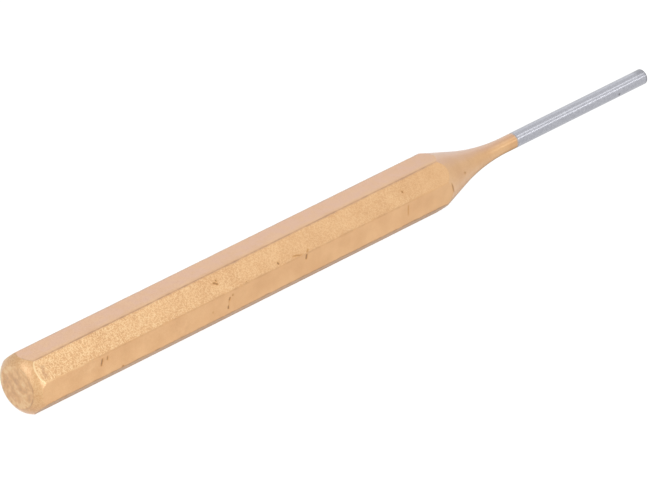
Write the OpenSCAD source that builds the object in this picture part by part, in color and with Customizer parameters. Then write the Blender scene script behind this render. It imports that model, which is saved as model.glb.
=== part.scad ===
// Pin punch: an eight-sided bar turned to a hollow neck, with a plain drive pin set in its end.
// It lies along X on one of its flats, striking face at -X, tip at +X, midway over the origin.

/* [Punch] */
// Length of the whole punch, from the crown of the striking face to the tip of the pin
punch_l = 150; // [130:1:200]

/* [Bar] */
// Distance between opposite flats of the eight-sided bar
bar_flats = 10; // [8:0.5:14]
// How far the eight sharp edges of the bar are turned down
edge_break = 0.05; // [0.02:0.01:0.2]

/* [Head] */
// Diameter of the crowned striking face
face_d = 7.6; // [6:0.1:8.6]
// Height of the crown on the striking face
crown_h = 0.15; // [0.05:0.05:0.6]
// Length of the rounded rim between the striking face and the bar
rim_l = 1.75; // [1:0.05:3]
// How far the rounded rim swells beyond a straight chamfer
rim_swell = 0.25; // [0.05:0.05:0.4]

/* [Neck] */
// Angle between the cone of the neck and the axis
neck_angle = 17.2; // [12:0.1:26]
// Radius of the hollow sweep from the cone to the collar
sweep_r = 41; // [10:1:70]
// Length of the straight collar at the end of the neck
collar_l = 2.3; // [1:0.1:10]

/* [Drive pin] */
// Diameter of the drive pin, and of the collar that it meets flush
pin_d = 2.8; // [2.2:0.1:5]
// Bare length of the drive pin, from the collar to the tip
pin_l = 33.3; // [15:0.1:50]
// Size of the chamfer round the tip
tip_chamfer = 0.25; // [0.1:0.05:0.8]

/* [Pin seat] */
// Diameter of the tang that holds the drive pin in the neck
tang_d = 1.6; // [1:0.1:2.2]
// Length of the tang
tang_l = 12; // [6:0.5:25]
// Size of the lead-in chamfer on the end of the tang
tang_chamfer = 0.3; // [0.1:0.05:0.45]
// Gap all round the tang in its bore
tang_clearance = 0.02; // [0.01:0.01:0.1]
// Depth left in the bore beyond the end of the tang
bore_spare = 0.8; // [0.4:0.1:3]
// Point angle of the drill that made the bore
drill_angle = 118; // [90:1:140]

/* [Hidden] */
$fn = 128;
bar_sides = 8;
crown_steps = 6;
rim_steps = 10;
sweep_steps = 24;
cut_overrun = 1;

// Radii of the turned outline
face_r = face_d / 2;
pin_r = pin_d / 2;
tang_r = tang_d / 2;
bore_r = tang_r + tang_clearance;
corner_r = bar_flats / 2 / cos(180 / bar_sides);
edge_r = corner_r - edge_break;
cone_end_r = pin_r + sweep_r * (1 - cos(neck_angle));

// Distances from the crown, along the axis
bar_start = crown_h + rim_l;
shank_l = punch_l - pin_l;
collar_start = shank_l - collar_l;
sweep_start = collar_start - sweep_r * sin(neck_angle);
cone_start = sweep_start - (edge_r - cone_end_r) / tan(neck_angle);
tang_end = shank_l - tang_l;
bore_end = tang_end - bore_spare;
drill_tip = bore_end - bore_r / tan(drill_angle / 2);

// Crown: an arc about a point on the axis, out to the edge of the face
crown_r = (face_r * face_r + crown_h * crown_h) / (2 * crown_h);
crown_angle = asin(face_r / crown_r);

// Rim: an arc on the chord from the edge of the face to the start of the bar
rim_chord = [edge_r - face_r, rim_l];
rim_half = norm(rim_chord) / 2;
rim_r = (rim_half * rim_half + rim_swell * rim_swell) / (2 * rim_swell);
rim_inward = [-rim_chord[1], rim_chord[0]] / norm(rim_chord);
rim_center = [face_r, crown_h] + rim_chord / 2 + rim_inward * (rim_r - rim_swell);
rim_angle = atan2(rim_chord[1], rim_chord[0]) - 90;
rim_spread = asin(rim_half / rim_r);

// Points of an arc in equal steps, without its first one
function arc_points(center, radius, from, to, steps) = [
    for (i = [1:steps])
        let (angle = from + (to - from) * i / steps)
            center + radius * [cos(angle), sin(angle)]
];

// Half outline that the bar is turned to: radius across, distance from the crown upward
turned_outline = concat(
    [[0, 0]],
    arc_points([0, crown_r], crown_r, -90, crown_angle - 90, crown_steps),
    arc_points(rim_center, rim_r, rim_angle - rim_spread, rim_angle + rim_spread, rim_steps),
    [[edge_r, cone_start], [cone_end_r, sweep_start]],
    arc_points([pin_r + sweep_r, collar_start], sweep_r, 180 + neck_angle, 180, sweep_steps),
    [[pin_r, shank_l], [0, shank_l]]
);

// Blind hole for the tang, with the cone that the drill leaves
bore_outline = [
    [0, drill_tip],
    [bore_r, bore_end],
    [bore_r, shank_l + cut_overrun],
    [0, shank_l + cut_overrun]
];

// Pin with its chamfered tip, its shoulder at the collar and its tang in the bore
pin_outline = [
    [0, tang_end],
    [tang_r - tang_chamfer, tang_end],
    [tang_r, tang_end + tang_chamfer],
    [tang_r, shank_l],
    [pin_r, shank_l],
    [pin_r, punch_l - tip_chamfer],
    [pin_r - tip_chamfer, punch_l],
    [0, punch_l]
];

// Turns what stands on Z to lie along X, with one flat of the bar on the bench
module lay_on_bench() {
    translate([-punch_l / 2, 0, bar_flats / 2])
        rotate([0, 90, 0])
            children();
}

// Eight-sided stock, longer than the shank at both ends
module bar_stock() {
    translate([0, 0, -cut_overrun])
        rotate(180 / bar_sides)
            cylinder(r = corner_r, h = shank_l + 2 * cut_overrun, $fn = bar_sides);
}

module shank() {
    color("#dfb384")
        lay_on_bench()
            difference() {
                intersection() {
                    bar_stock();
                    rotate_extrude() polygon(turned_outline);
                }
                rotate_extrude() polygon(bore_outline);
            }
}

module drive_pin() {
    color("#a9abb4")
        lay_on_bench()
            rotate_extrude() polygon(pin_outline);
}

shank();
drive_pin();
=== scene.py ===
import math

import bpy
from mathutils import Matrix, Vector, noise


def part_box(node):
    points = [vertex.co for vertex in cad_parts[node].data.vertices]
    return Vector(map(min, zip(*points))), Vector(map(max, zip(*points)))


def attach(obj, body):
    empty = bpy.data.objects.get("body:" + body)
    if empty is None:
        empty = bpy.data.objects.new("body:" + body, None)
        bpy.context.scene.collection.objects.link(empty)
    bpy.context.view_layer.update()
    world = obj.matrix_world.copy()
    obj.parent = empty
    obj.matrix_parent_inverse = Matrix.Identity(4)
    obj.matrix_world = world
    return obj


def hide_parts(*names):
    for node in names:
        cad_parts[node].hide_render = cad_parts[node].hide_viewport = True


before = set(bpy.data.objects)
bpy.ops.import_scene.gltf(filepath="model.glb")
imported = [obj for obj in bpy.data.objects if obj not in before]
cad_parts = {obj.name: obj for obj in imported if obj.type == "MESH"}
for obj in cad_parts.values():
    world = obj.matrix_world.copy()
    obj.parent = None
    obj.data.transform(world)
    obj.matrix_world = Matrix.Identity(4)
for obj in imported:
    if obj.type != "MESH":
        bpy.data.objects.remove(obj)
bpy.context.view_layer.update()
print("frame loaded:", ", ".join(sorted(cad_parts)))

mm = 0.001  # sizes below are in millimetres, Blender works in metres
shankLow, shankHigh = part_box("shank")
pinLow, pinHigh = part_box("drive_pin")
headX = shankLow.x / mm  # crown of the striking face
collarEndX = shankHigh.x / mm  # where the lacquer stops and the bare pin begins
tipX = pinHigh.x / mm
axisZ = (shankLow.z + shankHigh.z) / 2 / mm
apothem = (shankHigh.z - shankLow.z) / 2 / mm  # axis to the middle of a flat
pinRadius = (pinHigh.z - pinLow.z) / 2 / mm
sideCount = 8
sideAngle = 2 * math.pi / sideCount


# Small helpers for meshes and materials

def spread(start, end, step):
    # evenly spaced values from start to end, both included
    count = max(1, math.ceil(abs(end - start) / step))
    return [start + (end - start) * i / count for i in range(count + 1)]


def ripple(x, y, z, size):
    # smooth noise between -1 and 1 with bumps of about this size
    return noise.noise(Vector((x / size, y / size, z / size)))


def bell(value, width):
    return math.exp(-(value / width) ** 2)


def between(value, low, high):
    # 0 up to low, 1 from high on
    return max(0, min(1, (value - low) / (high - low)))


def newPiece(name, points, faces, marks, material, body, nodeName):
    # a smooth mesh piece that stands for one node of the frame
    mesh = bpy.data.meshes.new(name)
    mesh.from_pydata([Vector(p) * mm for p in points], [], faces)
    for markName, values in marks.items():
        layer = mesh.attributes.new(markName, "FLOAT", "POINT")
        layer.data.foreach_set("value", values)
    mesh.polygons.foreach_set("use_smooth", [True] * len(mesh.polygons))
    mesh.materials.append(material)
    mesh.validate()
    piece = bpy.data.objects.new(name, mesh)
    bpy.context.scene.collection.objects.link(piece)
    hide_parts(nodeName)
    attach(piece, body)
    print(name, "made:", len(points), "points,", len(faces), "faces")
    return piece


def bridge(faces, ringA, ringB):
    # faces between two rings, leaving out corners that fall together
    count = len(ringA)
    for i in range(count):
        j = (i + 1) % count
        corners = []
        for corner in (ringA[i], ringA[j], ringB[j], ringB[i]):
            if corner not in corners:
                corners.append(corner)
        if len(corners) > 2:
            faces.append(corners)


def addNode(tree, kind, inputs=None, **settings):
    made = tree.nodes.new(kind)
    for name, value in settings.items():
        setattr(made, name, value)
    for socket, value in (inputs or {}).items():
        if isinstance(value, bpy.types.NodeSocket):
            tree.links.new(value, made.inputs[socket])
        else:
            made.inputs[socket].default_value = value
    return made


def placeInMillimetres(tree, scale=(1, 1, 1)):
    # object coordinates in millimetres, stretched by scale
    coordinates = addNode(tree, "ShaderNodeTexCoord")
    factors = [s / mm for s in scale]
    return addNode(tree, "ShaderNodeMapping", {
        "Vector": coordinates.outputs["Object"],
        "Scale": factors,
    }).outputs["Vector"]


def noiseValue(tree, place, size, detail=2.0, roughness=0.5):
    return addNode(tree, "ShaderNodeTexNoise", {
        "Vector": place,
        "Scale": 1 / size,
        "Detail": detail,
        "Roughness": roughness,
    }).outputs["Fac"]


def mapRange(tree, value, low, high, newLow, newHigh):
    return addNode(tree, "ShaderNodeMapRange", {
        "Value": value,
        "From Min": low,
        "From Max": high,
        "To Min": newLow,
        "To Max": newHigh,
    }).outputs["Result"]


def mixColour(tree, factor, first, second, blend="MIX"):
    made = addNode(tree, "ShaderNodeMix", data_type="RGBA", blend_type=blend)
    for socket, value in ((made.inputs[0], factor), (made.inputs[6], first), (made.inputs[7], second)):
        if isinstance(value, bpy.types.NodeSocket):
            tree.links.new(value, socket)
        elif isinstance(value, tuple):
            socket.default_value = (*value, 1)
        else:
            socket.default_value = value
    return made.outputs[2]


def mathNode(tree, operation, *values):
    return addNode(tree, "ShaderNodeMath", dict(enumerate(values)), operation=operation).outputs[0]


def markValue(tree, name):
    return addNode(tree, "ShaderNodeAttribute", attribute_name=name).outputs["Fac"]


# Gold lacquer on the shank

lacquerLook = {
    "gold": (0.725, 0.367, 0.121),
    "paleGold": (0.835, 0.467, 0.182),
    # pink of the painted reflection on surfaces that face up
    "pinkSheenGold": (0.765, 0.42, 0.24),
    "glintGold": (0.97, 0.70, 0.36),
    "grainBrown": (0.62, 0.31, 0.105),
    # brown of the painted shade along the edges
    "edgeShadeBrown": (0.32, 0.125, 0.03),
    "nickBrown": (0.2, 0.05, 0.004),
    "nickAmber": (0.68, 0.29, 0.04),
    "faceBrown": (0.52, 0.245, 0.09),
    # painted shade for the underside, also used where a nick has lost its coat
    "underBrown": (0.46, 0.32, 0.21),
    "underShadeShare": 0.6,
    "bareGrey": (0.42, 0.40, 0.40),
    "metallic": 0.55,
    "coatShine": 1.85,  # index of refraction of the clear lacquer
    "coatRoughness": 0.3,
    "smoothest": 0.3,
    "roughest": 0.4,
    "baseShine": 0.05,  # of the pigment under the clear lacquer
    "mottleSize": 4.5,
    "patchSize": 1.6,
    "blotchSize": 1.3,
    "raggedSize": 0.4,
    "grainSize": 0.45,
    "grainHeight": 0.03,
}


def makeGoldLacquer(look):
    material = bpy.data.materials.new("goldLacquer")
    material.use_nodes = True
    tree = material.node_tree
    shader = tree.nodes["Principled BSDF"]
    place = placeInMillimetres(tree)
    mottle = mapRange(tree, noiseValue(tree, place, look["mottleSize"], 4), 0.3, 0.7, 0, 1)
    colour = mixColour(tree, mottle, look["gold"], look["paleGold"])
    patchy = mapRange(tree, noiseValue(tree, place, look["patchSize"], 2), 0.4, 0.6, 0.3, 1)
    # painted reflection: where the surface faces up it is mixed towards pink, standing for the white
    # surroundings reflected in the lacquer, more in some places than in others
    upSheen = mathNode(tree, "MULTIPLY", markValue(tree, "upSheenMark"), mapRange(tree, patchy, 0.3, 1, 0.6, 1))
    colour = mixColour(tree, upSheen, colour, look["pinkSheenGold"])
    # the rough flats are speckled with brown hollows in the grain and pale curls of painted glint
    grain = noiseValue(tree, place, look["grainSize"], 2)
    rough = markValue(tree, "grainMark")
    curl = mathNode(tree, "ABSOLUTE", mathNode(tree, "SUBTRACT", grain, 0.5))
    curlGlint = mathNode(tree, "MULTIPLY", mapRange(tree, curl, 0.06, 0.01, 0, 0.85), rough)
    hollow = mathNode(tree, "MULTIPLY", mapRange(tree, curl, 0.07, 0.16, 0, 0.5), rough)
    colour = mixColour(tree, hollow, colour, look["grainBrown"])
    colour = mixColour(tree, curlGlint, colour, look["glintGold"])
    # painted shade: the edges are drawn brown in patches, reaching a little onto the flats
    edge = mathNode(tree, "MULTIPLY", markValue(tree, "edgeShadeLine"), patchy)
    colour = mixColour(tree, edge, colour, look["edgeShadeBrown"])
    # painted highlights: pale along one edge near the head and along the end of one flat at the rim
    glint = mathNode(tree, "MULTIPLY", markValue(tree, "glintMark"), patchy)
    colour = mixColour(tree, glint, colour, look["glintGold"])
    # brown and pale blotches on the striking face and in scuffs, the pale ones partly rubbed wear and
    # partly painted highlight, and a thin ring of painted shade beside the face
    blotch = noiseValue(tree, place, look["blotchSize"], 3, 0.6)
    wear = markValue(tree, "faceWear")
    deeper = mathNode(tree, "MAXIMUM", mathNode(tree, "SUBTRACT", wear, 1), 0)
    wear = mathNode(tree, "MINIMUM", wear, 1)
    blotch = mathNode(tree, "MULTIPLY_ADD", deeper, 0.15, blotch)
    # painted highlight, partly rubbed wear: pale blotches
    rubbedAndHighlit = mathNode(tree, "MULTIPLY", wear, mapRange(tree, blotch, 0.5, 0.34, 0, 0.55))
    colour = mixColour(tree, rubbedAndHighlit, colour, look["glintGold"])
    worn = mathNode(tree, "MULTIPLY", wear, mapRange(tree, blotch, 0.48, 0.68, 0, 0.6))
    ring = mathNode(tree, "MULTIPLY", markValue(tree, "ringShade"), patchy)
    worn = mathNode(tree, "MAXIMUM", worn, ring)
    colour = mixColour(tree, worn, colour, look["faceBrown"])
    # a nick is brown in an amber stain
    nick = markValue(tree, "nickMark")
    colour = mixColour(tree, mapRange(tree, nick, 0, 0.4, 0, 1), colour, look["nickAmber"])
    colour = mixColour(tree, nick, colour, look["nickBrown"])
    # painted shade: where the surface faces down the colour is mixed towards a dull brown, as it is where
    # a nick has lost its coat
    coat = markValue(tree, "coatMark")
    underShadeAndBare = mapRange(tree, coat, 0, 0.5, look["underShadeShare"], 0)
    colour = mixColour(tree, underShadeAndBare, colour, look["underBrown"])
    # steel shows through the ragged end of the coat
    ragged = noiseValue(tree, place, look["raggedSize"], 2)
    ragged = mathNode(tree, "ADD", markValue(tree, "bareMark"), ragged)
    colour = mixColour(tree, mapRange(tree, ragged, 1.0, 1.25, 0, 0.8), colour, look["bareGrey"])
    metallic = mathNode(tree, "MULTIPLY", markValue(tree, "metalMark"), look["metallic"])
    tree.links.new(colour, shader.inputs["Base Color"])
    tree.links.new(coat, shader.inputs["Coat Weight"])
    tree.links.new(metallic, shader.inputs["Metallic"])
    roughness = mapRange(tree, grain, 0.3, 0.7, look["smoothest"], look["roughest"])
    tree.links.new(roughness, shader.inputs["Roughness"])
    # the flats have a fine grain that glints, the turned parts are smoother
    relief = addNode(tree, "ShaderNodeBump", {
        "Height": grain,
        "Strength": rough,
        "Distance": look["grainHeight"] * mm,
    }).outputs["Normal"]
    tree.links.new(relief, shader.inputs["Normal"])
    tree.links.new(relief, shader.inputs["Coat Normal"])
    shader.inputs["Specular IOR Level"].default_value = look["baseShine"]
    shader.inputs["Coat IOR"].default_value = look["coatShine"]
    shader.inputs["Coat Roughness"].default_value = look["coatRoughness"]
    return material


# Bare ground steel on the drive pin

steelLook = {
    "steel": (0.38, 0.385, 0.425),
    "paleSteel": (0.49, 0.495, 0.535),
    "tipGrey": (0.16, 0.16, 0.175),
    "spotBrown": (0.05, 0.045, 0.045),
    "spatterGold": (0.80, 0.56, 0.33),
    "smoothest": 0.2,
    "roughest": 0.32,
    "speckSize": 0.35,
    "grainSize": 0.3,
    "grainHeight": 0.012,
    "grainStrength": 0.9,
}


def makeBareSteel(look):
    material = bpy.data.materials.new("bareSteel")
    material.use_nodes = True
    tree = material.node_tree
    shader = tree.nodes["Principled BSDF"]
    place = placeInMillimetres(tree)
    grain = noiseValue(tree, place, look["grainSize"], 3, 0.6)
    colour = mixColour(tree, mapRange(tree, grain, 0.3, 0.7, 0, 1), look["steel"], look["paleSteel"])
    # partly wear, partly painted shade: the end of the tip and the upper back behind it are darker
    colour = mixColour(tree, markValue(tree, "tipWearAndShade"), colour, look["tipGrey"])
    colour = mixColour(tree, markValue(tree, "spotMark"), colour, look["spotBrown"])
    # specks of lacquer beyond its ragged end
    speck = noiseValue(tree, place, look["speckSize"], 2)
    speck = mathNode(tree, "ADD", markValue(tree, "spatter"), speck)
    colour = mixColour(tree, mapRange(tree, speck, 1.18, 1.26, 0, 1), colour, look["spatterGold"])
    tree.links.new(colour, shader.inputs["Base Color"])
    roughness = mapRange(tree, grain, 0.3, 0.7, look["smoothest"], look["roughest"])
    tree.links.new(roughness, shader.inputs["Roughness"])
    bump = addNode(tree, "ShaderNodeBump", {
        "Height": grain,
        "Strength": look["grainStrength"],
        "Distance": look["grainHeight"] * mm,
    })
    tree.links.new(bump.outputs["Normal"], shader.inputs["Normal"])
    shader.inputs["Metallic"].default_value = 1.0
    return material


# Shank: an eight-sided bar with a turned head, neck and collar

shank = {
    "edgeBreak": 0.05,
    "faceRadius": 3.8,
    "crownHeight": 0.15,
    "rimLength": 1.75,
    "rimSwell": 0.25,
    "neckAngle": math.radians(17.2),
    "sweepRadius": 41,
    "collarLength": 2.3,
    "boreRadius": 0.82,
    "boreDepth": 12.8,
    "drillAngle": math.radians(118),
    "lacquerEdge": 0.03,  # rounding where the lacquer ends at the pin
    "raggedLength": 0.7,  # how far back its end is ragged
    "edgeLineWidth": 0.1,
    "edgeShade": 0.5,  # share of an edge's painted shade that reaches onto the flats
    "edgeSpread": 0.3,
    "edgeFade": 1.5,  # the painted shade lines fade out over this length at both ends of the bar
    "edgeStrengths": (0.6, 0.34, 0.8, 0.5, 0.5, 0.5, 0.5, 0.8),  # edge after each flat, from the top
    "frontEdgeEnd": 90,  # where the brown line on the upper front edge has faded away
    "frontEdgeFade": 8,
    "brightEdge": 1,  # the edge that gets a painted highlight near the head in place of its brown
    "brightLength": 13,
    "brightFade": 3,
    "brightStrength": 0.35,
    "underCoat": 0.0,  # clear coat on the underside, where the rest has 1
    "underMetal": 0.15,  # metallic sheen on the underside, where the flats have 1
    "ringStrength": 1.0,  # of the brown ring of painted shade in the crease round the striking face
    "ringWidth": 0.1,
    "edgeWander": 0.06,  # how far the edges are worn down in places
    "wanderSizes": (2.2, 0.6),
    "flatGrain": (0.2, 1.0, 0.12, 0.1, 0.1, 1.0, 0.1, 0.1),  # how rough each flat is and how strongly its grain shows painted glints, from the top one on
    "sheenFrom": 0.7,  # the painted pink reflection shows where the surface faces up more than this
    "sheenlessEdge": 0.9,  # width along the front of the top flat where the painted reflection fades out
    "turnedGrain": 0.1,
    "rimGrain": 0.45,
    "faceMetal": 0.9,
    "rimMetal": 0.5,
    "neckMetal": 0.8,
    "neckFade": (84, 97),  # distances between which the flats get as smooth as the neck
    "neckSmoothing": 0.6,
    "darkScallop": 0,  # the flat whose rounded end at the rim gets a brown line of painted shade
    "brightScallop": 1,  # the one whose end gets a painted highlight line
    "scallopWidth": 0.22,
    "scallopStrength": 2.5,
    "scallopBrown": 0.6,
    "faceScar": 1.6,  # how much deeper the wear is on the upper front edge of the striking face
    "scarTurn": math.radians(55),
    "scarSpread": math.radians(25),
    "scarInset": 0.3,
    "scarWidth": 0.35,
    "grainFade": (5, 60),  # distances from the crown between which the rough flats get smoother and their painted glints weaker
    "leastGrain": 0.42,
    "waveHeight": 0.012,  # how far the ground flats stray from true
    "waveSize": 7.0,
    # each nick: the flat (0 is the top one, 1 the upper front one, 2 the front one), the distance from
    # the crown, the place across the flat, half its length, its lean, its depth and how dark it is
    "nicks": [
        (1, 41.5, -0.16, 0.19, 1.3, 0.05, 0.85),
        (1, 41.85, -0.66, 0.15, 0.0, 0.04, 0.6),
        (1, 47.2, 1.89, 0.12, 0.0, 0.04, 0.5),
        (1, 54.87, 1.48, 0.15, 0.0, 0.05, 0.9),
        (1, 59.2, 1.7, 0.28, 2.9, 0.03, 0.3),
        (1, 61.65, 1.71, 0.25, -1.0, 0.05, 0.25),
        (1, 85.53, -0.07, 0.15, 0.0, 0.05, 0.65),
        (2, 14.2, -0.82, 0.56, -0.24, 0.07, 0.85),
        (2, 15.45, -1.1, 0.3, -0.14, 0.06, 0.45),
        (2, 18.86, 1.9, 0.18, 0.0, 0.07, 0.8),
        (2, 39.3, 0.3, 0.15, 0.0, 0.04, 0.18),
        (2, 42.85, 0.79, 0.22, 0.0, 0.08, 1.0),
        (2, 42.95, 0.25, 0.4, -0.14, 0.03, 0.08),
        (2, 43.15, -0.68, 0.36, -0.4, 0.07, 0.55),
        (2, 43.91, -1.24, 0.12, 0.0, 0.04, 0.6),
        (2, 61.1, -1.5, 0.42, -0.15, 0.07, 1.0),
        (2, 85.5, -0.6, 1.0, 0.0, 0.02, 0.2),
    ],
    "nickWidth": 0.14,
    "nickBare": 0.35,  # how dark a nick is where it has lost its clear coat
    "nickRings": (-2.4, -1.2, -0.6, 0, 0.6, 1.2, 2.4),  # rings of points at a nick, in nick widths
    # each scuff: the flat, the distance from the crown, across, radius and strength
    "scuffs": [
        (1, 2.75, -0.6, 0.55, 2.0),
        (1, 2.65, 0.1, 0.55, 2.0),
        (1, 2.5, 0.8, 0.55, 2.0),
        (1, 24.0, -1.0, 1.5, 0.3),
        (2, 11.5, -1.0, 1.6, 0.35),
        (2, 33.0, 0.6, 2.5, 0.25),
    ],
    # each mark on the neck: the distance from the crown, the angle from the top to the front, half its
    # length round the neck, its lean, width and darkness
    "neckMarks": [
        (96.5, math.radians(84), 0.95, 0.28, 0.15, 0.4),
        (101.05, math.radians(72), 0.2, 0.0, 0.2, 0.38),
    ],
    # each dent that a hammer blow left on the striking face: across, up, radius and depth
    "dents": [
        (-1.3, 0.9, 0.6, 0.06),
        (0.6, 1.7, 0.8, 0.05),
        (1.6, -0.6, 0.7, 0.06),
        (-0.5, -1.6, 0.8, 0.05),
        (-2.3, -0.7, 0.6, 0.05),
        (0.3, 0.2, 0.7, 0.05),
        (2.5, 1.0, 0.6, 0.05),
        (0.9, -2.6, 0.7, 0.05),
    ],
    # spacing of the points
    "flatSteps": 20,
    "roundSteps": 12,
    "tongueSteps": 10,
    "innerRing": 0.15,
    "crownStep": 0.25,
    "rimStart": 0.05,
    "rimStep": 0.12,
    "nearRimStep": 0.15,
    "nearRimLength": 1.0,
    "bodyStep": 0.6,
    "coneStep": 0.3,
    "sweepStep": math.radians(0.7),
    "collarStep": 0.4,
    "crease": 0.03,
    "boreCrease": 0.02,
}


def shankStations(part):
    # (distance from the crown, turned radius) from the middle of the face to the bottom of the bore
    edgeRadius = apothem / math.cos(sideAngle / 2) - part["edgeBreak"]
    faceRadius = part["faceRadius"]
    crownHeight = part["crownHeight"]
    crownRadius = (faceRadius ** 2 + crownHeight ** 2) / (2 * crownHeight)
    stations = [(0.0, 0.0)]
    for radius in spread(part["innerRing"], faceRadius, part["crownStep"]):
        stations.append((crownRadius - math.sqrt(crownRadius ** 2 - radius ** 2), radius))
    # rim: an arc on the chord from the edge of the face to the bar
    chord = Vector((edgeRadius - faceRadius, part["rimLength"]))
    half = chord.length / 2
    rimRadius = (half ** 2 + part["rimSwell"] ** 2) / (2 * part["rimSwell"])
    inward = Vector((-chord.y, chord.x)).normalized()
    centre = Vector((faceRadius, crownHeight)) + chord / 2 + inward * (rimRadius - part["rimSwell"])

    def rimStation(radius):
        across = radius - centre.x
        return (centre.y - math.sqrt(rimRadius ** 2 - across ** 2), radius)

    for radius in spread(faceRadius + part["rimStart"], apothem, part["rimStep"]):
        stations.append(rimStation(radius))
    flatGrowth = [(i + 1) / part["tongueSteps"] for i in range(part["tongueSteps"])]
    for w in flatGrowth:
        stations.append(rimStation(apothem + (edgeRadius - apothem) * w ** 2))
    # bar, with closer rings at each nick
    shankLength = collarEndX - headX
    collarStart = shankLength - part["collarLength"]
    sweepStart = collarStart - part["sweepRadius"] * math.sin(part["neckAngle"])
    sweepEndRadius = pinRadius + part["sweepRadius"] * (1 - math.cos(part["neckAngle"]))
    coneStart = sweepStart - (edgeRadius - sweepEndRadius) / math.tan(part["neckAngle"])
    barStart = crownHeight + part["rimLength"]
    distances = spread(barStart + part["rimStart"], coneStart, part["bodyStep"])
    distances += spread(barStart, barStart + part["nearRimLength"], part["nearRimStep"])
    for nick in part["nicks"]:
        reach = part["nickWidth"] * math.hypot(1, nick[4])
        distances += [nick[1] + offset * reach for offset in part["nickRings"]]
    distances = sorted(d for d in distances if barStart < d <= coneStart)
    last = barStart
    for d in distances:
        if d - last > part["crease"]:
            stations.append((d, edgeRadius))
            last = d
    if last < coneStart:
        stations.append((coneStart, edgeRadius))
    # cone, where each flat runs out in a tongue
    for w in reversed([0] + flatGrowth[:-1]):
        radius = apothem + (edgeRadius - apothem) * w ** 2
        stations.append((coneStart + (edgeRadius - radius) / math.tan(part["neckAngle"]), radius))
    coneFlatEnd = coneStart + (edgeRadius - apothem) / math.tan(part["neckAngle"])
    for d in spread(coneFlatEnd, sweepStart, part["coneStep"])[1:]:
        stations.append((d, edgeRadius - (d - coneStart) * math.tan(part["neckAngle"])))
    for angle in spread(part["neckAngle"], 0, part["sweepStep"])[1:]:
        d = collarStart - part["sweepRadius"] * math.sin(angle)
        stations.append((d, pinRadius + part["sweepRadius"] * (1 - math.cos(angle))))
    # collar, rounded off where the lacquer stops, then the bore for the tang
    rounding = part["lacquerEdge"]
    for d in spread(collarStart, shankLength - rounding, part["collarStep"])[1:]:
        stations.append((d, pinRadius))
    for angle in spread(0, math.pi / 2, math.pi / 8)[1:]:
        stations.append((
            shankLength - rounding + rounding * math.sin(angle),
            pinRadius - rounding + rounding * math.cos(angle),
        ))
    bore = part["boreRadius"]
    boreEnd = shankLength - part["boreDepth"]
    crease = part["crease"]
    lead = part["boreCrease"]
    drillSlope = math.tan(part["drillAngle"] / 2)
    stations += [
        (shankLength, bore + crease),
        (shankLength, bore),
        (shankLength - crease, bore),
        (boreEnd + crease, bore),
        (boreEnd, bore),
        (boreEnd - lead, bore - lead * drillSlope),
        (boreEnd - bore / drillSlope, 0.0),
    ]
    return stations, barStart, coneStart


def nickDepth(part, side, d, across):
    # depth of the nicks at a point of one flat, and how dark they are there
    depth = 0.0
    mark = 0.0
    for flat, nickD, nickAcross, halfLength, lean, deepest, darkness in part["nicks"]:
        if flat != side or abs(d - nickD) > 2:
            continue
        along = across - nickAcross
        beside = (d - nickD - lean * along) / math.hypot(1, lean)
        shape = bell(beside, part["nickWidth"]) * math.exp(-(along / halfLength) ** 6)
        depth += deepest * shape
        mark = max(mark, shape * darkness)
    return depth, mark


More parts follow.
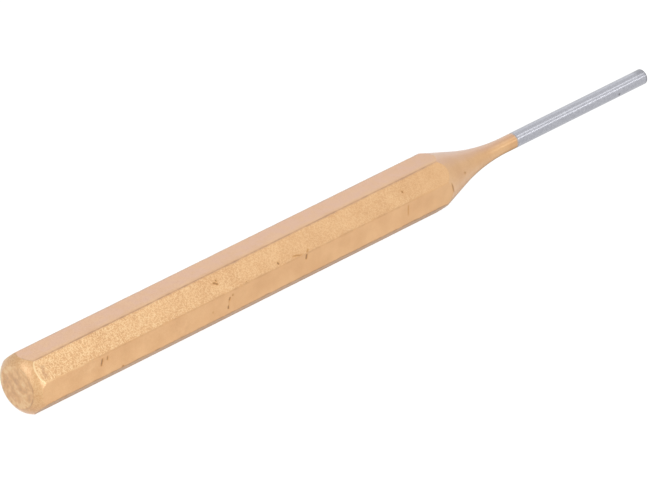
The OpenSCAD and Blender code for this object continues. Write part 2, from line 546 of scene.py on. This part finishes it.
def makeShank(part, material):
    stations, barStart, coneStart = shankStations(part)
    edgeRadius = max(radius for d, radius in stations)
    points = []
    faces = []
    marks = {
        "edgeShadeLine": [], "nickMark": [], "faceWear": [], "ringShade": [], "grainMark": [],
        "glintMark": [], "coatMark": [], "metalMark": [], "upSheenMark": [], "bareMark": [],
    }
    # places across a flat, closer together near its edges, and across the land between two flats
    halfSteps = part["flatSteps"] / 2
    flatSteps = [math.sin(math.pi / 2 * (i / halfSteps - 1)) for i in range(part["flatSteps"] + 1)]
    roundSteps = [i / part["roundSteps"] for i in range(1, part["roundSteps"])]
    columns = sideCount * (part["flatSteps"] + part["roundSteps"])

    def turned(side, out, across):
        # out and across are measured from the axis, square to one flat and along it
        angle = side * sideAngle
        y = -out * math.sin(angle) - across * math.cos(angle)
        z = out * math.cos(angle) - across * math.sin(angle)
        return y, z

    def addPoint(x, y, z, edge=0, nick=0, wear=0, ring=0, grain=part["turnedGrain"],
                 glint=0, rise=0, metal=1):
        # rise is 1 where the surface faces up, -1 where it faces down
        points.append((headX + x, y, axisZ + z))
        under = between(-rise, 0, 0.5)
        coat = (1 + (part["underCoat"] - 1) * under) * (1 - between(nick, 0, part["nickBare"]))
        metal *= 1 + (part["underMetal"] - 1) * under
        # painted reflection: how much of the up-facing pink shows here
        upSheen = between(rise, part["sheenFrom"], 1)
        bare = between(headX + x, collarEndX - part["raggedLength"], collarEndX)
        values = (edge, nick, wear, ring, grain, glint, coat, metal, upSheen, bare)
        for name, value in zip(marks, values):
            marks[name].append(value)
        return len(points) - 1

    def neckMark(d, radius, turn):
        # how dark the marks on the neck are at this point
        dark = 0
        for markD, markTurn, halfLength, lean, width, darkness in part["neckMarks"]:
            along = radius * (turn - markTurn)
            beside = d - markD - lean * along
            dark = max(dark, darkness * bell(beside, width) * math.exp(-(along / halfLength) ** 6))
        return dark

    def wave(d, y, z):
        return part["waveHeight"] * (0.5 + 0.5 * ripple(d, y, z, part["waveSize"]))

    def dentDepth(y, z):
        return sum(
            depth * bell(math.hypot(y - dentY, z - dentZ), radius)
            for dentY, dentZ, radius, depth in part["dents"]
        )

    def alongBar(d):
        # 1 on the straight bar, falling to 0 at its ends
        return between(min(d - barStart, coneStart - d), 0, part["edgeFade"])

    def brownEdge(d, side):
        # how strong the painted shade along the edge after this flat is, and how strong its painted
        # highlight is
        strength = part["edgeStrengths"][side] * alongBar(d)
        if side != part["brightEdge"]:
            return strength, 0
        rubbedAndHighlit = between(part["brightLength"] - d, 0, part["brightFade"])
        faded = between(d, part["frontEdgeEnd"] - part["frontEdgeFade"], part["frontEdgeEnd"])
        return strength * (1 - rubbedAndHighlit) * (1 - faded), part["brightStrength"] * rubbedAndHighlit

    def cornerRadius(d, radius, side):
        # turned radius at the edge after this flat, worn down a little here and there
        if radius < edgeRadius - 1e-6:
            return radius
        longSize, shortSize = part["wanderSizes"]
        worn = max(0, ripple(d, 10 * side, 0, longSize) + 0.3 * ripple(d, 10 * side, 5, shortSize))
        return radius - part["edgeWander"] * worn * alongBar(d)

    def turnedPoint(d, radius, angle, side, edge=0, glint=0):
        # a point of the turned surface, outside the flats
        y, z = turned(side, radius * math.cos(angle), radius * math.sin(angle))
        onHead = d < barStart
        front = max(0, -y / radius)
        beyondFace = radius - part["faceRadius"]
        # painted shade in the crease round the face, on its front side
        ring = part["ringStrength"] * front * bell(beyondFace, part["ringWidth"]) if onHead else 0
        turn = side * sideAngle + angle
        if onHead and beyondFace <= 1e-6:
            scar = bell(beyondFace + part["scarInset"], part["scarWidth"])
            scar *= bell(turn - part["scarTurn"], part["scarSpread"])
            wear = 1 + part["faceScar"] * scar
            return addPoint(d + dentDepth(y, z), y, z, wear=wear, ring=ring, metal=part["faceMetal"])
        inner = 1 - wave(d, y, z) / radius * min(1, radius)
        grain = part["rimGrain"] if onHead else part["turnedGrain"]
        dark = neckMark(d, radius, turn)
        rise = 0 if onHead else z / radius
        metal = part["rimMetal"] if onHead else part["neckMetal"]
        return addPoint(d, y * inner, z * inner, edge, dark, 0, ring, grain, glint, rise, metal)

    def rimDistance(radius):
        # distance from the crown at which the rim has this radius
        for (startD, startRadius), (endD, endRadius) in zip(stations, stations[1:]):
            if startRadius < radius <= endRadius:
                return startD + (endD - startD) * (radius - startRadius) / (endRadius - startRadius)
        return barStart

    def flatPoint(d, side, across, beside):
        depth, nick = nickDepth(part, side, d, across)
        corner = side if across > 0 else (side - 1) % sideCount
        nick = max(nick, neckMark(d, apothem, side * sideAngle + math.atan2(across, apothem)))
        edge = part["edgeShade"] * bell(beside, part["edgeLineWidth"]) * brownEdge(d, corner)[0]
        scallop = 0
        nearRim = d < barStart + part["nearRimLength"]
        # painted highlight along the end of one flat at the rim, painted shade along the end of another
        if nearRim and side in (part["brightScallop"], part["darkScallop"]):
            line = bell(d - rimDistance(math.hypot(apothem, across)), part["scallopWidth"])
            if side == part["brightScallop"]:
                scallop = part["scallopStrength"] * line
            elif across > 0:
                edge = max(edge, part["scallopBrown"] * line)
        y, z = turned(side, apothem, across)
        y, z = turned(side, apothem - depth - wave(d, y, z), across)
        wear = sum(
            strength * bell(math.hypot(d - scuffD, across - scuffAcross), radius)
            for flat, scuffD, scuffAcross, radius, strength in part["scuffs"] if flat == side
        )
        fadeStart, fadeEnd = part["grainFade"]
        fade = 1 - between(d, fadeStart, fadeEnd)
        grain = part["flatGrain"][side] * (part["leastGrain"] + (1 - part["leastGrain"]) * fade)
        nearNeck = between(d, *part["neckFade"])
        grain *= 1 - part["neckSmoothing"] * nearNeck
        metal = 1 + (part["neckMetal"] - 1) * max(nearNeck, part["flatGrain"][side] * (1 - fade))
        rise = math.cos(side * sideAngle)
        if side == 0 and across > 0:
            rise -= (1 - part["sheenFrom"]) * (1 - between(beside, 0, part["sheenlessEdge"]))
        return addPoint(d, y, z, edge, nick, wear, 0, grain, scallop, rise, metal)

    rings = []
    for index, (d, radius) in enumerate(stations):
        inBore = index > len(stations) - 8  # the last seven stations
        if radius == 0:
            push = dentDepth(0, 0) if index == 0 else 0
            rings.append([addPoint(d + push, 0, 0, wear=1 - inBore)] * columns)
            continue
        corners = [cornerRadius(d, radius, side) for side in range(sideCount)]
        halves = [math.sqrt(max(corner ** 2 - apothem ** 2, 0)) for corner in corners]
        ring = []
        for side in range(sideCount):
            before = halves[side - 1]
            after = halves[side]
            if inBore:
                y, z = turned(side, radius, 0)
                ring += [addPoint(d, y, z)] * len(flatSteps)
            elif after > 1e-6:
                for s in flatSteps:
                    across = s * (after if s > 0 else before)
                    beside = (after if s > 0 else before) - abs(across)
                    ring.append(flatPoint(d, side, across, beside))
            else:
                ring += [turnedPoint(d, radius, 0, side)] * len(flatSteps)
            start = math.atan2(after, apothem)
            for t in roundSteps:
                angle = start + (sideAngle - 2 * start) * t
                if inBore:
                    y, z = turned(side, radius * math.cos(angle), radius * math.sin(angle))
                    ring.append(addPoint(d, y, z))
                else:
                    brown, bright = brownEdge(d, side)
                    brown *= bell(t - 0.5, part["edgeSpread"])
                    onEdge = radius > edgeRadius - 1e-6
                    ring.append(turnedPoint(d, corners[side], angle, side, brown, bright * onEdge))
        rings.append(ring)
    for ringA, ringB in zip(rings, rings[1:]):
        bridge(faces, ringA, ringB)
    return newPiece("shank_gold", points, faces, marks, material, "root", "shank")


# Drive pin: a plain ground pin with a chamfered tip, held by its tang

drivePin = {
    "tangRadius": 0.8,
    "tangLength": 12,
    "tangChamfer": 0.3,
    "tipChamfer": 0.25,
    "crease": 0.03,  # distance of the ring that keeps each corner crisp
    "tipWearLength": 0.5,  # the darkened end of the pin, partly wear and partly painted shade
    "tipShadeLength": 2.6,  # the greyer stretch of painted shade behind it, on the upper back
    "tipShade": 0.55,
    "shadeTurn": 0.35,
    "endWear": 0.4,
    "spotFromTip": 7.5,  # a small dark spot low on the front
    "spotAngle": math.radians(100),
    "spotSize": 0.2,
    "spatterLength": 0.9,  # how far specks of lacquer reach onto the pin
    "spatterStrength": 0.6,
    "segments": 96,
    "step": 0.3,
    "tangStep": 2.0,
    "endRing": 0.5,
}


def makeDrivePin(part, material):
    tangStart = collarEndX - part["tangLength"]
    tang = part["tangRadius"]
    chamfer = part["tipChamfer"]
    crease = part["crease"]
    straightStart = tangStart + part["tangChamfer"]
    chamferStart = tipX - chamfer
    tangRings = spread(straightStart + crease, collarEndX - crease, part["tangStep"])
    pinRings = spread(collarEndX + 2 * crease, chamferStart - crease, part["step"])
    outline = [(tangStart, 0.0), (tangStart, tang - part["tangChamfer"]), (straightStart, tang)]
    outline += [(x, tang) for x in tangRings]
    outline += [
        (collarEndX, tang),
        (collarEndX, tang + crease),
        (collarEndX, pinRadius - crease),
        (collarEndX, pinRadius),
        (collarEndX + crease, pinRadius),
    ]
    outline += [(x, pinRadius) for x in pinRings]
    outline += [
        (chamferStart, pinRadius),
        (chamferStart + crease, pinRadius - crease),
        (tipX - crease, pinRadius - chamfer + crease),
        (tipX, pinRadius - chamfer),
        (tipX, pinRadius - chamfer - crease),
        (tipX, part["endRing"]),
        (tipX, 0.0),
    ]
    points = []
    faces = []
    marks = {"spotMark": [], "tipWearAndShade": [], "spatter": []}

    def addPoint(x, radius, angle):
        points.append((x, -radius * math.sin(angle), axisZ + radius * math.cos(angle)))
        away = math.hypot(x - tipX + part["spotFromTip"], pinRadius * (angle - part["spotAngle"]))
        marks["spotMark"].append(bell(away, part["spotSize"]))
        fromTip = tipX - x
        worn = 1 - between(fromTip, part["tipWearLength"] / 2, part["tipWearLength"])
        shade = 1 - between(fromTip, part["tipShadeLength"] / 2, part["tipShadeLength"])
        shade *= part["tipShade"] * max(0, math.cos(angle + part["shadeTurn"])) ** 2
        onPin = radius > tang
        marks["tipWearAndShade"].append(max(worn, shade) if onPin else part["endWear"] * (x == tipX))
        spatter = part["spatterStrength"] * (1 - (x - collarEndX) / part["spatterLength"])
        marks["spatter"].append(max(0, spatter))
        return len(points) - 1

    rings = []
    angles = [2 * math.pi * i / part["segments"] for i in range(part["segments"])]
    for x, radius in outline:
        if radius == 0:
            rings.append([addPoint(x, 0, 0)] * part["segments"])
        else:
            rings.append([addPoint(x, radius, angle) for angle in angles])
    for ringA, ringB in zip(rings, rings[1:]):
        bridge(faces, ringA, ringB)
    return newPiece("drive_pin_steel", points, faces, marks, material, "root", "drive_pin")


makeShank(shank, makeGoldLacquer(lacquerLook))
makeDrivePin(drivePin, makeBareSteel(steelLook))


# Studio: white floor, white surroundings and soft lamps

studio = {
    "floorSize": 6000,
    "floorWhite": 0.9,
    "floorGlow": 1.28,
    "floorGlowShare": 0.75,  # for the camera; the rest is plain floor, which keeps the shadow
    "floorShineShare": 0.65,  # for reflections, which also show the shadow under the bar
    "worldLight": 0.32,
}

# Each lamp: the point of the axis that it faces, the way to it, how far off it is, its width and height,
# its glow, which adds to the white around it where 1 is white, and its colour.
pinMiddleX = (collarEndX + tipX) / 2
lamps = {
    "frontSoftbox": {
        "faces": headX + 15, "towards": (-0.08, -0.95, 0.26), "distance": 250,
        "size": (230, 180), "glow": 1.75, "colour": (1, 1, 1),
    },
    "faceLamp": {
        "faces": headX, "towards": (-0.93, 0.1, 0.35), "distance": 600,
        "size": (600, 450), "glow": 0.6, "colour": (1, 1, 1),
    },
    "rimLamp": {
        "faces": headX, "towards": (-0.68, 0.12, 0.72), "distance": 450,
        "size": (460, 380), "glow": 0.42, "colour": (1, 1, 1),
    },
    "backSoftbox": {
        "faces": 0, "towards": (0.62, 0.61, 0.49), "distance": 900,
        "size": (800, 300), "glow": 0.2, "colour": (0.95, 1.0, 1.05),
    },
    "sparkleBox": {
        "faces": headX + 10, "towards": (0.587, -0.504, 0.631), "distance": 880,
        "size": (160, 120), "glow": 0.45, "colour": (1, 1, 1),
    },
    "upperStrip": {
        "faces": pinMiddleX, "towards": (0.623, -0.295, 0.724), "distance": 880,
        "size": (260, 110), "glow": 1.3, "colour": (1, 1, 1),
    },
    "lowerStrip": {
        "faces": pinMiddleX, "towards": (0.623, -0.685, 0.377), "distance": 880,
        "size": (300, 45), "glow": 3.8, "colour": (1, 1, 1),
    },
}


def seenInShine(tree):
    # 1 for what shows in gloss and through glass
    path = addNode(tree, "ShaderNodeLightPath")
    return mathNode(tree, "MAXIMUM", path.outputs["Is Glossy Ray"], path.outputs["Is Transmission Ray"])


def seenByCamera(tree):
    return addNode(tree, "ShaderNodeLightPath").outputs["Is Camera Ray"]


def makeFloor(setup):
    size = setup["floorSize"] / 2 * mm
    mesh = bpy.data.meshes.new("floor")
    corners = [(-size, -size, 0), (size, -size, 0), (size, size, 0), (-size, size, 0)]
    mesh.from_pydata(corners, [], [(0, 1, 2, 3)])
    material = bpy.data.materials.new("whiteFloor")
    material.use_nodes = True
    tree = material.node_tree
    tree.nodes.remove(tree.nodes["Principled BSDF"])
    paint = addNode(tree, "ShaderNodeBsdfDiffuse", {"Color": (*[setup["floorWhite"]] * 3, 1)})
    glow = addNode(tree, "ShaderNodeEmission", {"Strength": setup["floorGlow"]})
    direct = mathNode(tree, "MULTIPLY", seenByCamera(tree), setup["floorGlowShare"])
    shine = mathNode(tree, "MULTIPLY", seenInShine(tree), setup["floorShineShare"])
    share = mathNode(tree, "MAXIMUM", direct, shine)
    mixed = addNode(tree, "ShaderNodeMixShader", {
        0: share,
        1: paint.outputs[0],
        2: glow.outputs[0],
    })
    tree.links.new(mixed.outputs[0], tree.nodes["Material Output"].inputs["Surface"])
    mesh.materials.append(material)
    floor = bpy.data.objects.new("floor", mesh)
    bpy.context.scene.collection.objects.link(floor)


def makeWorld(setup):
    world = bpy.data.worlds.new("whiteStudio")
    world.use_nodes = True
    tree = world.node_tree
    shown = mathNode(tree, "MAXIMUM", seenByCamera(tree), seenInShine(tree))
    strength = mapRange(tree, shown, 0, 1, setup["worldLight"], 1)
    background = tree.nodes["Background"]
    background.inputs["Color"].default_value = (1, 1, 1, 1)
    tree.links.new(strength, background.inputs["Strength"])
    bpy.context.scene.world = world


def makeLamps(setup):
    for name, lamp in setup.items():
        towards = Vector(lamp["towards"]).normalized()
        light = bpy.data.lights.new(name, "AREA")
        light.shape = "RECTANGLE"
        light.size = lamp["size"][0] * mm
        light.size_y = lamp["size"][1] * mm
        light.color = lamp["colour"]
        light.energy = lamp["glow"] * 4 * light.size * light.size_y
        holder = bpy.data.objects.new(name, light)
        holder.location = (Vector((lamp["faces"], 0, axisZ)) + towards * lamp["distance"]) * mm
        # turned so that its width runs along the punch
        along = (Vector((1, 0, 0)) - towards * towards.x).normalized()
        holder.rotation_euler = Matrix((along, towards.cross(along), towards)).transposed().to_euler()
        holder.visible_camera = False
        bpy.context.scene.collection.objects.link(holder)


makeFloor(studio)
makeWorld(studio)
makeLamps(lamps)
print("studio made")


# Camera, as the photograph was taken

photoView = {
    "imageSize": (648, 486),
    "azimuth": math.radians(-45.743),
    "elevation": math.radians(29.146),
    "distance": 1026.3,
    "focalPixels": 6117.4,
    "middlePixel": (343.46, 224.85),  # where the middle of the axis is seen
}


def makeCamera(view):
    width, height = view["imageSize"]
    azimuth = view["azimuth"]
    level = math.cos(view["elevation"])
    back = Vector((math.sin(azimuth) * level, -math.cos(azimuth) * level, math.sin(view["elevation"])))
    right = Vector((math.cos(azimuth), math.sin(azimuth), 0))
    up = back.cross(right)
    lens = bpy.data.cameras.new("photoCamera")
    lens.sensor_width = 36
    lens.lens = view["focalPixels"] / width * lens.sensor_width
    lens.clip_start = 0.01
    lens.clip_end = 20
    camera = bpy.data.objects.new("photoCamera", lens)
    camera.location = (Vector((0, 0, axisZ)) + back * view["distance"]) * mm
    # turned a little away from the middle of the axis, to where the photograph is centred
    sideways = (view["middlePixel"][0] - width / 2) / view["focalPixels"]
    upwards = (height / 2 - view["middlePixel"][1]) / view["focalPixels"]
    gaze = -back - right * sideways - up * upwards
    camera.rotation_euler = gaze.to_track_quat("-Z", "Y").to_euler()
    bpy.context.scene.collection.objects.link(camera)
    bpy.context.scene.camera = camera


makeCamera(photoView)
bpy.context.scene.view_settings.view_transform = "Standard"
print("camera made")
